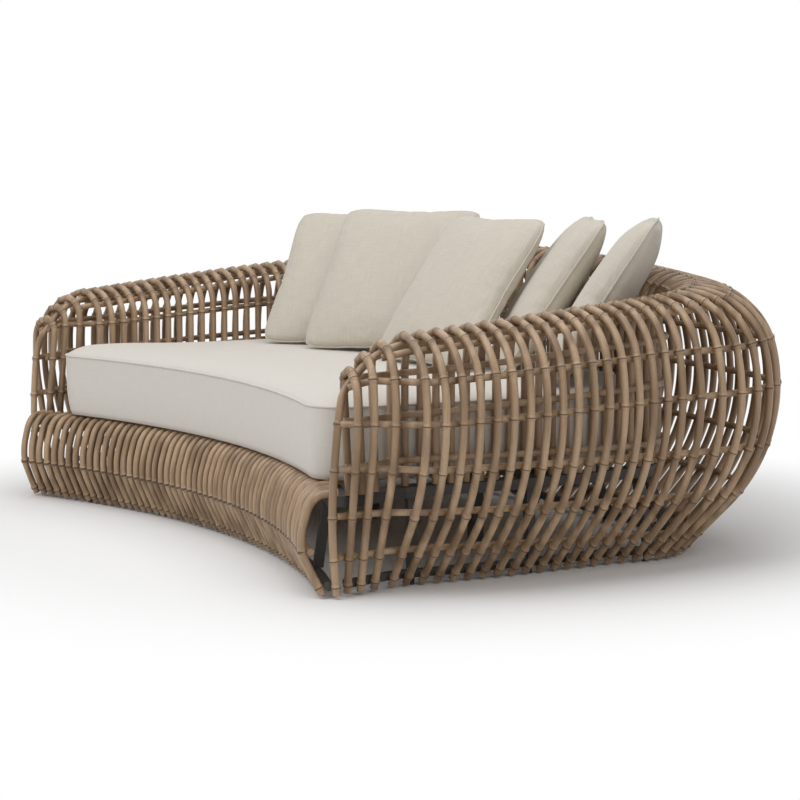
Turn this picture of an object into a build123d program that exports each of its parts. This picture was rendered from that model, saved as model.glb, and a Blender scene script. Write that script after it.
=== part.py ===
from build123d import *
import math
import os

# Crest line, the plan line of the rib tops, for the right half: a gentle arm, a short straight,
# a round corner and a shallow back. Left and right are mirror images in the plane X = 0.
HALF_WIDTH = 964.0
TIP_HALF_WIDTH = 892.0
ARM_LENGTH = 700.0
STRAIGHT_LENGTH = 100.0
CORNER_RADIUS = 291.0
CORNER_TURN = 78.0

# Heights of the crest line
TIP_HEIGHT = 520.0
SHOULDER_HEIGHT = 597.0
BACK_HEIGHT = 732.0
TIP_LENGTH = 171.0
TIP_RISE_POWER = 2.5
ARM_RISE_POWER = 1.35

# Bent ribs
RIB_RADIUS = 9.2
RIB_PITCH = 40.5
TIP_PITCH_SHARES = (0.86, 1.01, 1.38, 0.99)
BULGE_HEIGHT = 425.0
SIDE_RADIUS = 425.0
TIP_BULGE = 62.0
ARM_BULGE = 150.0
CORNER_BULGE = 206.0
BULGE_GROWS_FROM = 730.0
BULGE_GROWS_TO = 1050.0
TIP_INNER_RADIUS = 38.0
INNER_RADIUS = 90.0
TIP_LEG_LEAN = 8.5
TIP_STRAIGHT_FROM = 335.0
STRAIGHT_FROM = 135.0
RIB_FOOT_HEIGHT = 10.0

# Poles behind the ribs. Each row has its height as a share of the tip height at the arm tip,
# and as a share of the back height from the corner on.
POLE_RADIUS = 8.0
POLE_OVERHANG = 9.5
ROWS_LEVEL_FROM = 1050.0
OUTER_ROW_SHARES = {
    "upper": (0.971, 0.751),
    "middle": (0.775, 0.597),
    "lower": (0.569, 0.396),
    "skirt": (0.362, 0.232),
    "hem": (0.173, 0.082),
}
INNER_ROW_SHARES = {
    "upper": (0.962, 0.751),
    "middle": (0.775, 0.597),
    "lower": (0.577, 0.396),
}
OUTER_SHOULDER_ANGLE = 26.0
INNER_SHOULDER_ANGLE = 45.0

# Nose of each arm, where the crest pole turns down in front of the first rib. Its route has
# shares of the nose's shift outward, its reach forward and the tip height.
NOSE_SHIFT = 15.5
NOSE_REACH = 44.5
NOSE_ROUTE_SHARES = (
    (0.50, 0.43, 0.894),
    (1.00, 0.71, 0.777),
    (1.00, 0.90, 0.594),
    (0.80, 1.00, 0.412),
    (0.58, 0.97, 0.237),
)
NOSE_FOOT_SHARES = (0.03, 0.71)

# Apron: close ribs on an arc, bent out below the front of the cushion and back under it.
# Their route has shares of the apron's depth behind the arc and of the height of its top.
APRON_RADIUS = 2090.0
APRON_FRONT = 78.0
APRON_PITCH = 31.0
APRON_RIBS = 57
APRON_DEPTH = 86.0
APRON_ROUTE_SHARES = (
    (0.570, 0.000),
    (0.300, 0.197),
    (0.030, 0.427),
    (0.030, 0.632),
    (0.233, 0.872),
    (0.488, 0.970),
    (1.000, 1.000),
)
APRON_POLE_SHARE = 0.427

# Base frame of coated aluminium
RAIL_WIDTH = 50.0
RAIL_HEIGHT = 25.0
RAIL_TOP = 234.5
RAIL_BEHIND_LEGS = 12.0
FRONT_RAIL_DEPTH = 88.0
FLOOR_RAIL_RADIUS = 11.0
FLOOR_RAIL_HEIGHT = 28.0
POST_SIZE = 22.0
POSTS_PER_SIDE = 6
FIRST_POST = 190.0
LAST_POST_SHORT = 60.0
FRONT_POSTS = 5
BEARER_WIDTH = 45.0
BEARER_PLACE = 590.0
CENTRE_LEGS = 3
CENTRE_LEG_SPACING = 520.0
CENTRE_LEG_SIZE = 30.0

# Seat deck
SLAT_WIDTH = 64.0
SLAT_HEIGHT = 18.4
SLAT_PITCH = 98.0
SLATS = 15
SLAT_GAP = 3.0

# Glides under the base frame
GLIDE_RADIUS = 8.0
LEG_GLIDE_HEIGHT = 12.0

# Seat cushion: sections up its side and over its crown, each a share of the height there and
# how far the outline is drawn in
CUSHION_FRONT = 102.0
CUSHION_FRONT_RADIUS = 2317.0
CUSHION_CORNER_RADIUS = 45.0
CUSHION_SEAM_HEIGHT = 425.0
CUSHION_CROWN = 14.0
CUSHION_SIDE_GAP = 2.5
CUSHION_DRAW = 14.0
CUSHION_CROWN_EDGE = 130.0
CUSHION_SIDE_SHARES = ((0.0, 1.0), (0.08, 0.3), (0.5, 0.0), (0.92, 0.3), (1.0, 0.65))
CUSHION_TOP_SHARES = ((0.42, 0.28), (0.80, 0.60), (1.0, 1.0))

# Scatter cushions: half sections from the seam out, each a share of the half size drawn in and
# a share of the half thickness
PILLOW_SIZE = 480.0
PILLOW_THICKNESS = 120.0
PILLOW_SEAM = 6.0
PILLOW_WAIST = 14.0
PILLOW_SECTION_SHARES = ((0.0, 0.0), (0.06, 0.30), (0.18, 0.62), (0.36, 0.88), (0.56, 1.0))
PILLOW_LIFT = 2.2
# Where each one stands on the seat: across, back, turned and leaning
PILLOWS = {
    "far_left": (-451.0, 715.5, 34.3, 36.1),
    "left": (-209.0, 703.5, 26.7, 32.3),
    "centre": (186.0, 618.0, -2.0, 34.5),
    "right": (335.0, 780.5, -31.6, 33.7),
    "far_right": (625.0, 760.0, -39.9, 32.4),
}

# Small clearance between pieces that touch, and how widely a bent bar is rounded
FIT = 0.3
ROUNDING_SHARE = 0.45

# Worked out from the sizes above
CORNER_ANGLE = math.radians(CORNER_TURN)
ARM_SPREAD = HALF_WIDTH - TIP_HALF_WIDTH
ARM_RADIUS = (ARM_SPREAD ** 2 + ARM_LENGTH ** 2) / (2 * ARM_SPREAD)
ARM_ANGLE = math.asin(ARM_LENGTH / ARM_RADIUS)
CORNER_X = HALF_WIDTH - CORNER_RADIUS
CORNER_Y = ARM_LENGTH + STRAIGHT_LENGTH
BACK_RADIUS = CORNER_X / math.cos(CORNER_ANGLE) + CORNER_RADIUS
BACK_Y = CORNER_Y - CORNER_X * math.tan(CORNER_ANGLE)
ARM_END = ARM_RADIUS * ARM_ANGLE
STRAIGHT_END = ARM_END + STRAIGHT_LENGTH
CORNER_END = STRAIGHT_END + CORNER_RADIUS * CORNER_ANGLE
CREST_LENGTH = CORNER_END + BACK_RADIUS * (math.pi / 2 - CORNER_ANGLE)
STEP = RIB_PITCH / 100
APRON_Y = APRON_FRONT - APRON_RADIUS
APRON_TOP = RAIL_TOP + FIT + RIB_RADIUS
LEG_FOOT = RAIL_TOP + FIT + RIB_RADIUS * math.sin(math.radians(TIP_LEG_LEAN))
RAIL_BOTTOM = RAIL_TOP - RAIL_HEIGHT
RAIL_MIDDLE = -INNER_RADIUS - RAIL_BEHIND_LEGS
DECK_TOP = RAIL_TOP + FIT + SLAT_HEIGHT
CUSHION_BASE = DECK_TOP + FIT
CUSHION_TOP = CUSHION_SEAM_HEIGHT + CUSHION_CROWN

NODES = {}


def keep(name, solids):
    """Hold the solids of one named sub-part until all are made."""
    NODES[name] = list(solids)


def keep_pair(name, solids):
    """The right-hand sub-part and its mirror image."""
    keep("right_" + name, solids)
    keep("left_" + name, [mirror(solid, Plane.YZ).solid() for solid in solids])


def largest(shape):
    return max(shape.solids(), key=lambda solid: solid.volume)


def blend(low, high, share):
    return low + (high - low) * share


def smooth(share):
    share = min(max(share, 0), 1)
    return share * share * (3 - 2 * share)


def plan_place(d, outward=0):
    """Point and outward heading at length d along the crest line, moved outward from it."""
    if d <= ARM_END:
        heading = d / ARM_RADIUS - ARM_ANGLE
        centre = Vector(HALF_WIDTH - ARM_RADIUS, ARM_LENGTH)
        radius = ARM_RADIUS
    elif d <= STRAIGHT_END:
        return Vector(HALF_WIDTH + outward, ARM_LENGTH + d - ARM_END), 0
    elif d <= CORNER_END:
        heading = (d - STRAIGHT_END) / CORNER_RADIUS
        centre = Vector(CORNER_X, CORNER_Y)
        radius = CORNER_RADIUS
    else:
        heading = CORNER_ANGLE + (d - CORNER_END) / BACK_RADIUS
        centre = Vector(0, BACK_Y)
        radius = BACK_RADIUS
    direction = Vector(math.cos(heading), math.sin(heading))
    return centre + direction * (radius + outward), heading


def place(d, outward, height):
    """Point in space at length d along the crest line."""
    return plan_place(d, outward)[0] + Vector(0, 0, height)


def offset_edges(outward, start, end):
    """Arcs and lines of the crest line, moved outward, from one length to another."""
    stops = [start] + [d for d in (ARM_END, STRAIGHT_END, CORNER_END) if start < d < end] + [end]
    edges = []
    for first, last in zip(stops, stops[1:]):
        near = plan_place(first, outward)[0]
        far = plan_place(last, outward)[0]
        if ARM_END <= first and last <= STRAIGHT_END:
            edges.append(Line(near, far))
        else:
            middle = plan_place((first + last) / 2, outward)[0]
            edges.append(ThreePointArc(near, middle, far))
    return edges


def corner_radii(points):
    """Radius at each inner point of a route, as wide as its two runs allow."""
    radii = []
    for before, corner, after in zip(points, points[1:], points[2:]):
        half_turn = math.radians((corner - before).get_angle(after - corner)) / 2
        shorter = min((corner - before).length, (after - corner).length)
        radii.append((ROUNDING_SHARE * shorter / math.tan(half_turn), half_turn))
    return radii


def rounded_path(points):
    """A path of runs and tangent arcs whose arcs pass through the points."""
    kept = [points[0]]
    for point, following in zip(points[1:], points[2:]):
        if (point - kept[-1]).get_angle(following - point) > 0.05:
            kept.append(point)
    kept.append(points[-1])
    if len(kept) == 2:
        return Line(*kept)
    moved = list(kept)
    for number, (radius, half_turn) in enumerate(corner_radii(kept), 1):
        inward = ((kept[number - 1] + kept[number + 1]) / 2 - kept[number]).normalized()
        moved[number] = kept[number] - inward * (radius * (1 / math.cos(half_turn) - 1))
    return FilletPolyline(*moved, radius=[radius for radius, half_turn in corner_radii(moved)])


def tube(path, radius):
    """A round bar along a path."""
    return sweep(Plane(path @ 0, z_dir=path % 0) * Circle(radius), path=path).solid()


class Rib:
    """Outline of one bent rib in its upright plane: u outward from the crest line, z up."""

    def __init__(self, d):
        tip_share = smooth(d / TIP_LENGTH)
        grow_share = smooth((d - BULGE_GROWS_FROM) / (BULGE_GROWS_TO - BULGE_GROWS_FROM))
        self.d = d
        self.top = self.crest_height(d)
        self.bulge = blend(blend(TIP_BULGE, ARM_BULGE, tip_share), CORNER_BULGE, grow_share)
        self.inner = blend(TIP_INNER_RADIUS, INNER_RADIUS, tip_share)
        self.lean = math.radians(blend(TIP_LEG_LEAN, 0, tip_share))
        self.straight_from = blend(TIP_STRAIGHT_FROM, STRAIGHT_FROM, tip_share)
        rise = self.top - BULGE_HEIGHT
        side = SIDE_RADIUS - self.bulge
        self.outer = (SIDE_RADIUS ** 2 - side ** 2 - rise ** 2) / (2 * SIDE_RADIUS - 2 * rise)
        self.outer_z = self.top - self.outer
        self.join = math.atan2(self.outer_z - BULGE_HEIGHT, side)
        self.fall = math.asin((BULGE_HEIGHT - self.straight_from) / SIDE_RADIUS)

    @staticmethod
    def crest_height(d):
        if d < TIP_LENGTH:
            share = max(d, 0) / TIP_LENGTH
            return blend(TIP_HEIGHT, SHOULDER_HEIGHT, 1 - (1 - share) ** TIP_RISE_POWER)
        share = (d - TIP_LENGTH) / (CREST_LENGTH - TIP_LENGTH)
        return blend(SHOULDER_HEIGHT, BACK_HEIGHT, 1 - (1 - min(share, 1)) ** ARM_RISE_POWER)

    def row_height(self, shares):
        """Height of a row of poles here, level from the corner on."""
        along = smooth(self.d / ROWS_LEVEL_FROM)
        return blend(shares[0] * TIP_HEIGHT, shares[1] * BACK_HEIGHT, along)

    def outside(self, z):
        """Point of the outer leg at height z, and the angle of its outward normal."""
        if z > self.outer_z + self.outer * math.sin(self.join):
            angle = math.asin(min((z - self.outer_z) / self.outer, 1))
            return self.outer * math.cos(angle), z, angle
        if z > self.straight_from:
            angle = math.asin((z - BULGE_HEIGHT) / SIDE_RADIUS)
            return self.bulge - SIDE_RADIUS + SIDE_RADIUS * math.cos(angle), z, angle
        start = self.bulge - SIDE_RADIUS + SIDE_RADIUS * math.cos(self.fall)
        return start - (self.straight_from - z) * math.tan(self.fall), z, -self.fall

    def inside(self, z):
        """Point of the inner leg at height z, and the angle of its normal."""
        centre = self.top - self.inner
        start = centre - self.inner * math.sin(self.lean)
        if z > start:
            angle = math.pi - math.asin((z - centre) / self.inner)
            return self.inner * math.cos(angle), z, angle
        u = -self.inner * math.cos(self.lean) + (start - z) * math.tan(self.lean)
        return u, z, math.pi + self.lean

    def over(self, turn):
        """Point of the top bends, turned outward or inward from upright, and its normal."""
        bend = self.outer if turn >= 0 else self.inner
        angle = math.pi / 2 - math.radians(turn)
        return bend * math.cos(angle), self.top - bend + bend * math.sin(angle), angle

    def path(self):
        """Inner leg, quarter bend over the top, side arc and straight raking foot."""
        leg_u = self.inside(LEG_FOOT)[0]
        lean = math.degrees(self.lean)
        join = math.degrees(self.join)
        bend = CenterArc((0, self.top - self.inner), self.inner, 180 + lean, -90 - lean)
        over = CenterArc((0, self.outer_z), self.outer, 90, join - 90)
        side_centre = (self.bulge - SIDE_RADIUS, BULGE_HEIGHT)
        side = CenterArc(side_centre, SIDE_RADIUS, join, -join - math.degrees(self.fall))
        foot_u = self.outside(RIB_FOOT_HEIGHT)[0]
        leg = Line((leg_u, LEG_FOOT), bend @ 0)
        foot = Line(side @ 1, (foot_u, RIB_FOOT_HEIGHT))
        origin, heading = plan_place(self.d)
        outward = (math.cos(heading), math.sin(heading), 0)
        ahead = (math.sin(heading), -math.cos(heading), 0)
        return Plane(origin, x_dir=outward, z_dir=ahead) * Wire([leg, bend, over, side, foot])

    def solid(self):
        return tube(self.path(), RIB_RADIUS)


def rib_stations():
    """Lengths along the crest line at which the ribs of one half stand."""
    stations = [0]
    for share in TIP_PITCH_SHARES:
        stations.append(stations[-1] + share * RIB_PITCH)
    start = stations[-1]
    steps = round((CREST_LENGTH - start) / RIB_PITCH - 0.5)
    pitch = (CREST_LENGTH - start) / (steps + 0.5)
    return stations + [start + pitch * (number + 1) for number in range(steps)]


RIBS = [Rib(d) for d in rib_stations()]
CENTRE = Rib(CREST_LENGTH - FIT)
FRONT_END = Rib(-POLE_OVERHANG)


def set_back(rib, skin, radius):
    """How far a bar's centre lies behind the rib, wider where the bar runs aslant to it."""
    u, z, angle = skin(rib)
    next_u, next_z, next_angle = skin(Rib(rib.d + STEP))
    slope = ((next_u - u) * math.cos(angle) + (next_z - z) * math.sin(angle)) / STEP
    return (RIB_RADIUS + radius) * math.sqrt(1 + slope ** 2) + FIT


def bar_points(ribs, skin, radius):
    """Centres of a bar that lies inside the bend of each rib, against the point skin gives."""
    points = []
    for rib in ribs:
        u, z, angle = skin(rib)
        back = set_back(rib, skin, radius)
        points.append(place(rib.d, u - back * math.cos(angle), z - back * math.sin(angle)))
    return points


def nose_points():
    """Route of the nose below the first rib, from top to foot."""
    origin, heading = plan_place(0)
    outward = Vector(math.cos(heading), math.sin(heading)) * NOSE_SHIFT
    forward = Vector(math.sin(heading), -math.cos(heading)) * NOSE_REACH
    points = []
    for shift, reach, height in NOSE_ROUTE_SHARES:
        points.append(origin + outward * shift + forward * reach + Vector(0, 0, height * TIP_HEIGHT))
    shift, reach = NOSE_FOOT_SHARES
    points.append(origin + outward * shift + forward * reach + Vector(0, 0, RIB_FOOT_HEIGHT))
    return points


def nose_at(height):
    """Centre of the nose at a height, between the points of its route."""
    points = nose_points()
    for upper, lower in zip(points, points[1:]):
        if lower.Z <= height <= upper.Z:
            return upper + (lower - upper) * ((upper.Z - height) / (upper.Z - lower.Z))
    return None


def ribs_in_groups():
    """The bent ribs of one half, in six groups from the arm tip to the middle of the back."""
    names = ["arm_tip_ribs", "arm_front_ribs", "arm_rear_ribs", "corner_ribs", "outer_back_ribs",
             "middle_back_ribs"]
    solids = [rib.solid() for rib in RIBS]
    for number, name in enumerate(names):
        first = round(number * len(solids) / len(names))
        last = round((number + 1) * len(solids) / len(names))
        keep_pair(name, solids[first:last])


def crest_pole():
    """Pole under the rib tops, which turns down at the arm tip and stands as its nose."""
    points = bar_points(RIBS + [CENTRE], lambda rib: rib.over(0), RIB_RADIUS)
    return tube(rounded_path(list(reversed(nose_points())) + points), RIB_RADIUS)


def outer_pole(shares):
    """Pole behind the outer legs, from the nose of the arm to the middle of the back."""
    points = bar_points(RIBS + [CENTRE], lambda rib: rib.outside(rib.row_height(shares)), POLE_RADIUS)
    nose = nose_at(points[0].Z)
    if nose is None:
        start = points[0] + (points[0] - points[1]).normalized() * POLE_OVERHANG
    else:
        start = nose + (points[0] - nose).normalized() * (RIB_RADIUS + FIT)
    return tube(rounded_path([start] + points), POLE_RADIUS)


def inner_pole(shares):
    """Pole behind the inner legs, from just past the first rib to the middle of the back."""
    ribs = [FRONT_END] + RIBS + [CENTRE]
    points = bar_points(ribs, lambda rib: rib.inside(rib.row_height(shares)), POLE_RADIUS)
    return tube(rounded_path(points), POLE_RADIUS)


def shoulder_pole(turn):
    """Pole under the top bends, on one side of the crest line, from the third rib on."""
    points = bar_points(RIBS[2:] + [CENTRE], lambda rib: rib.over(turn), POLE_RADIUS)
    overhang = (points[0] - points[1]).normalized() * POLE_OVERHANG
    return tube(rounded_path([points[0] + overhang] + points), POLE_RADIUS)


def poles():
    keep_pair("crest_and_nose_pole", [crest_pole()])
    keep_pair("outer_shoulder_pole", [shoulder_pole(OUTER_SHOULDER_ANGLE)])
    keep_pair("inner_shoulder_pole", [shoulder_pole(-INNER_SHOULDER_ANGLE)])
    for name, shares in OUTER_ROW_SHARES.items():
        keep_pair("outer_" + name + "_pole", [outer_pole(shares)])
    for name, shares in INNER_ROW_SHARES.items():
        keep_pair("inner_" + name + "_pole", [inner_pole(shares)])


def apron_place(turn, depth, height=0):
    """Point behind the arc of the apron, at a turn from its middle."""
    reach = APRON_RADIUS + depth
    return Vector(reach * math.sin(turn), APRON_Y + reach * math.cos(turn), height)


def apron_turn(number):
    """Turn of one apron rib from the middle of the arc."""
    return (number - (APRON_RIBS - 1) / 2) * APRON_PITCH / APRON_RADIUS


def apron_route():
    """Depth and height of the points of an apron rib, from its foot to its top end."""
    rise = APRON_TOP - RIB_FOOT_HEIGHT
    return [(depth * APRON_DEPTH, RIB_FOOT_HEIGHT + height * rise)
            for depth, height in APRON_ROUTE_SHARES]


def depth_behind_apron(height, radius):
    """Depth at which a bar's centre lies against the apron ribs at this height."""
    route = apron_route()
    for (depth, low), (next_depth, high) in zip(route, route[1:]):
        if low <= height <= high:
            slope = (next_depth - depth) / (high - low)
            skin = depth + slope * (height - low)
            return skin + (RIB_RADIUS + radius + FIT) * math.sqrt(1 + slope ** 2)
    return APRON_DEPTH


def apron_ribs():
    """Close ribs that bend out below the cushion and back under it."""
    solids = []
    for number in range(APRON_RIBS):
        turn = apron_turn(number)
        points = [apron_place(turn, depth, height) for depth, height in apron_route()]
        solids.append(tube(rounded_path(points), RIB_RADIUS))
    third = len(solids) // 3
    keep("left_apron_ribs", solids[:third])
    keep("middle_apron_ribs", solids[third:-third])
    keep("right_apron_ribs", solids[-third:])


def apron_bar(height, radius, overhang=0):
    """Round bar behind the apron ribs, along their arc."""
    depth = depth_behind_apron(height, radius)
    turn = apron_turn(APRON_RIBS - 1) + overhang / APRON_RADIUS
    ends = [apron_place(way * turn, depth, height) for way in (-1, 0, 1)]
    return tube(ThreePointArc(*ends), radius)


def apron_pole():
    height = blend(RIB_FOOT_HEIGHT, APRON_TOP, APRON_POLE_SHARE)
    keep("apron_pole", [apron_bar(height, POLE_RADIUS, POLE_OVERHANG)])


def seat_rail_band(spare=0):
    """Plan of the rail under the inner legs of one half, with spare width on each side."""
    outer = RAIL_MIDDLE + RAIL_WIDTH / 2 + spare
    inner = RAIL_MIDDLE - RAIL_WIDTH / 2 - spare
    toe = RIBS[0].inside(LEG_FOOT)[0] + RIB_RADIUS
    outside = offset_edges(outer, TIP_LENGTH, CREST_LENGTH)
    inside = offset_edges(inner, TIP_LENGTH, CREST_LENGTH)
    toe_outer = plan_place(-POLE_OVERHANG, toe + spare)[0]
    toe_inner = plan_place(-POLE_OVERHANG, toe - RAIL_WIDTH - spare)[0]
    ends = [Line(outside[0] @ 0, toe_outer), Line(toe_outer, toe_inner),
            Line(toe_inner, inside[0] @ 0), Line(outside[-1] @ 1, inside[-1] @ 1)]
    return make_face(outside + inside + ends)


def cut_by_seat_rails(shape):
    """The largest piece of a shape once both seat rails, with their clearance, are cut away."""
    band = Pos(0, 0, RAIL_BOTTOM - RAIL_HEIGHT) * seat_rail_band(FIT)
    cutter = extrude(band, 3 * RAIL_HEIGHT)
    return largest(shape - cutter - mirror(cutter, Plane.YZ))


def seat_rail():
    """Flat rail that the inner legs stand on, from the arm tip to the middle of the back."""
    band = Pos(0, 0, RAIL_BOTTOM) * seat_rail_band()
    keep_pair("seat_rail", [extrude(band, RAIL_HEIGHT).solid()])


def front_rail():
    """Curved rail under the apron tops, cut to meet the seat rails."""
    turn = apron_turn(APRON_RIBS - 1)
    near = [apron_place(way * turn, FRONT_RAIL_DEPTH - RAIL_WIDTH / 2) for way in (-1, 0, 1)]
    far = [apron_place(way * turn, FRONT_RAIL_DEPTH + RAIL_WIDTH / 2) for way in (-1, 0, 1)]
    edges = [ThreePointArc(*near), ThreePointArc(*far), Line(near[0], far[0]), Line(near[2], far[2])]
    band = Pos(0, 0, RAIL_BOTTOM) * make_face(edges)
    keep("front_rail", [cut_by_seat_rails(extrude(band, RAIL_HEIGHT))])


def floor_rail_place(rib):
    """Centre of the round floor rail, against the raking foot of a rib."""
    u, z, angle = rib.outside(FLOOR_RAIL_HEIGHT)
    back = set_back(rib, lambda other: other.outside(FLOOR_RAIL_HEIGHT), FLOOR_RAIL_RADIUS)
    return place(rib.d, u - back / math.cos(angle), FLOOR_RAIL_HEIGHT)


def floor_rails():
    """Round rails near the floor, behind the outer feet and behind the apron feet."""
    route = rounded_path([floor_rail_place(rib) for rib in RIBS + [CENTRE]])
    keep_pair("floor_rail", [tube(route, FLOOR_RAIL_RADIUS)])
    front = apron_bar(FLOOR_RAIL_HEIGHT, FLOOR_RAIL_RADIUS)
    cutter = tube(route, FLOOR_RAIL_RADIUS + FIT)
    keep("front_floor_rail", [largest(front - cutter - mirror(cutter, Plane.YZ))])


def post(foot, head, heading):
    """Square post with level ends, leaning where its head is not above its foot."""
    faces = []
    for end in (foot, head):
        plane = Plane(end, x_dir=(math.cos(heading), math.sin(heading), 0), z_dir=(0, 0, 1))
        faces.append(plane * Rectangle(POST_SIZE, POST_SIZE))
    return loft(faces, ruled=True).solid()


def post_stations():
    """Lengths along the crest line of the posts of one half, midway between ribs."""
    stations = []
    last = CREST_LENGTH - LAST_POST_SHORT
    for number in range(POSTS_PER_SIDE):
        wanted = blend(FIRST_POST, last, number / (POSTS_PER_SIDE - 1))
        gaps = [(before.d + after.d) / 2 for before, after in zip(RIBS, RIBS[1:])]
        stations.append(min(gaps, key=lambda d: abs(d - wanted)))
    return stations


def front_post_turns():
    """Turns of the posts behind the apron, midway between its ribs."""
    step = round(APRON_RIBS / FRONT_POSTS)
    return [(number - (FRONT_POSTS - 1) / 2) * step * APRON_PITCH / APRON_RADIUS
            + APRON_PITCH / APRON_RADIUS / 2 for number in range(FRONT_POSTS)]


def posts():
    """Posts between the floor rails and the rails of the seat."""
    foot_height = FLOOR_RAIL_HEIGHT + FLOOR_RAIL_RADIUS + FIT
    head_height = RAIL_BOTTOM - FIT
    solids = []
    for d in post_stations():
        foot = floor_rail_place(Rib(d))
        foot.Z = foot_height
        head = place(d, RAIL_MIDDLE, head_height)
        solids.append(post(foot, head, plan_place(d)[1]))
    keep_pair("rail_posts", solids)
    front_depth = depth_behind_apron(FLOOR_RAIL_HEIGHT, FLOOR_RAIL_RADIUS)
    front = []
    for turn in front_post_turns():
        foot = apron_place(turn, front_depth, foot_height)
        head = apron_place(turn, FRONT_RAIL_DEPTH, head_height)
        front.append(post(foot, head, -turn))
    keep("front_posts", front)


def bearer():
    """Beam across the seat between the two seat rails."""
    plank = Box(2 * HALF_WIDTH, BEARER_WIDTH, RAIL_HEIGHT)
    plank = Pos(0, BEARER_PLACE, RAIL_BOTTOM + RAIL_HEIGHT / 2) * plank
    keep("seat_bearer", [cut_by_seat_rails(plank)])


def centre_leg_places():
    return [((number - (CENTRE_LEGS - 1) / 2) * CENTRE_LEG_SPACING, BEARER_PLACE)
            for number in range(CENTRE_LEGS)]


def centre_legs():
    """Legs under the bearer."""
    height = RAIL_BOTTOM - FIT - LEG_GLIDE_HEIGHT
    solids = []
    for x, y in centre_leg_places():
        leg = Box(CENTRE_LEG_SIZE, CENTRE_LEG_SIZE, height)
        solids.append((Pos(x, y, LEG_GLIDE_HEIGHT + height / 2) * leg).solid())
    keep("centre_legs", solids)


def glides():
    """Round glides that the base frame stands on."""
    rail_bottom = FLOOR_RAIL_HEIGHT - FLOOR_RAIL_RADIUS - FIT
    places = []
    for d in post_stations():
        heading = plan_place(d)[1]
        inward = Vector(-math.cos(heading), -math.sin(heading)) * (FLOOR_RAIL_RADIUS / 2)
        foot = floor_rail_place(Rib(d)) + inward
        places += [(foot.X, foot.Y, rail_bottom), (-foot.X, foot.Y, rail_bottom)]
    depth = depth_behind_apron(FLOOR_RAIL_HEIGHT, FLOOR_RAIL_RADIUS) + FLOOR_RAIL_RADIUS / 2
    for turn in front_post_turns():
        point = apron_place(turn, depth)
        places.append((point.X, point.Y, rail_bottom))
    places += [(x, y, LEG_GLIDE_HEIGHT) for x, y in centre_leg_places()]
    solids = []
    for x, y, height in places:
        solids.append((Pos(x, y, height / 2) * Cylinder(GLIDE_RADIUS, height)).solid())
    keep("floor_glides", solids)


def back_limit(x, outward):
    """Y of the crest line, moved outward, at a distance across."""
    if abs(x) > CORNER_X + (CORNER_RADIUS + outward) * math.cos(CORNER_ANGLE):
        return CORNER_Y + math.sqrt((CORNER_RADIUS + outward) ** 2 - (abs(x) - CORNER_X) ** 2)
    return BACK_Y + math.sqrt((BACK_RADIUS + outward) ** 2 - x ** 2)


def deck_slats():
    """Slats from the front rail over the bearer to the back of the seat rails."""
    solids = []
    legs = -INNER_RADIUS - RIB_RADIUS - SLAT_GAP
    apron = APRON_RADIUS + APRON_DEPTH + SLAT_GAP
    for number in range(SLATS):
        middle = (number - (SLATS - 1) / 2) * SLAT_PITCH
        sides = (middle - SLAT_WIDTH / 2, middle, middle + SLAT_WIDTH / 2)
        front = max(APRON_Y + math.sqrt(apron ** 2 - x ** 2) for x in sides)
        back = min(back_limit(x, legs) for x in sides)
        slat = Box(SLAT_WIDTH, back - front, SLAT_HEIGHT)
        height = RAIL_TOP + FIT + SLAT_HEIGHT / 2
        solids.append((Pos(middle, (front + back) / 2, height) * slat).solid())
    keep("deck_slats", solids)


def cushion_corner(side, middle, radius):
    """Length along the crest line at which a round corner leaves the side to meet the front arc."""
    low, high = -ARM_LENGTH / 2, ARM_LENGTH
    while high - low > STEP / 100:
        d = (low + high) / 2
        centre = plan_place(d, side - CUSHION_CORNER_RADIUS)[0]
        if (centre - middle).length < radius + CUSHION_CORNER_RADIUS:
            low = d
        else:
            high = d
    return high


def cushion_outline(inset):
    """Plan of the seat cushion: hollow front, round front corners, sides and back along the legs."""
    side = -INNER_RADIUS - RIB_RADIUS - CUSHION_SIDE_GAP - inset
    radius = CUSHION_FRONT_RADIUS + inset
    middle = Vector(0, CUSHION_FRONT - CUSHION_FRONT_RADIUS)
    start = cushion_corner(side, middle, radius)
    centre, heading = plan_place(start, side - CUSHION_CORNER_RADIUS)
    on_side = plan_place(start, side)[0]
    on_front = middle + (centre - middle).normalized() * radius
    between = (on_side + on_front - centre * 2).normalized()
    edges = offset_edges(side, start, CREST_LENGTH)
    edges.append(ThreePointArc(on_side, centre + between * CUSHION_CORNER_RADIUS, on_front))
    edges += [mirror(edge, Plane.YZ) for edge in edges]
    front = ThreePointArc(on_front, middle + Vector(0, radius), Vector(-on_front.X, on_front.Y))
    return make_face(edges + [front])


def seat_cushion():
    """One deep cushion with drawn-in sides and a low crown."""
    sections = []
    for height, draw in CUSHION_SIDE_SHARES:
        z = blend(CUSHION_BASE, CUSHION_SEAM_HEIGHT, height)
        sections.append(Pos(0, 0, z) * cushion_outline(draw * CUSHION_DRAW))
    for height, draw in CUSHION_TOP_SHARES:
        z = CUSHION_SEAM_HEIGHT + height * CUSHION_CROWN
        sections.append(Pos(0, 0, z) * cushion_outline(draw * CUSHION_CROWN_EDGE))
    keep("seat_cushion", [loft(sections, ruled=True).solid()])


def pillow_outline(drawn_in):
    """Square of four arcs: hollow sides at the seam, full ones nearer the crown."""
    half = PILLOW_SIZE / 2 * (1 - drawn_in)
    middle = half - PILLOW_WAIST * (1 - 4 * drawn_in)
    turned = []
    for quarter in range(4):
        side = ThreePointArc((half, -half), (middle, 0), (half, half))
        turned.append(Rot(0, 0, 90 * quarter) * side)
    return make_face(turned)


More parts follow.
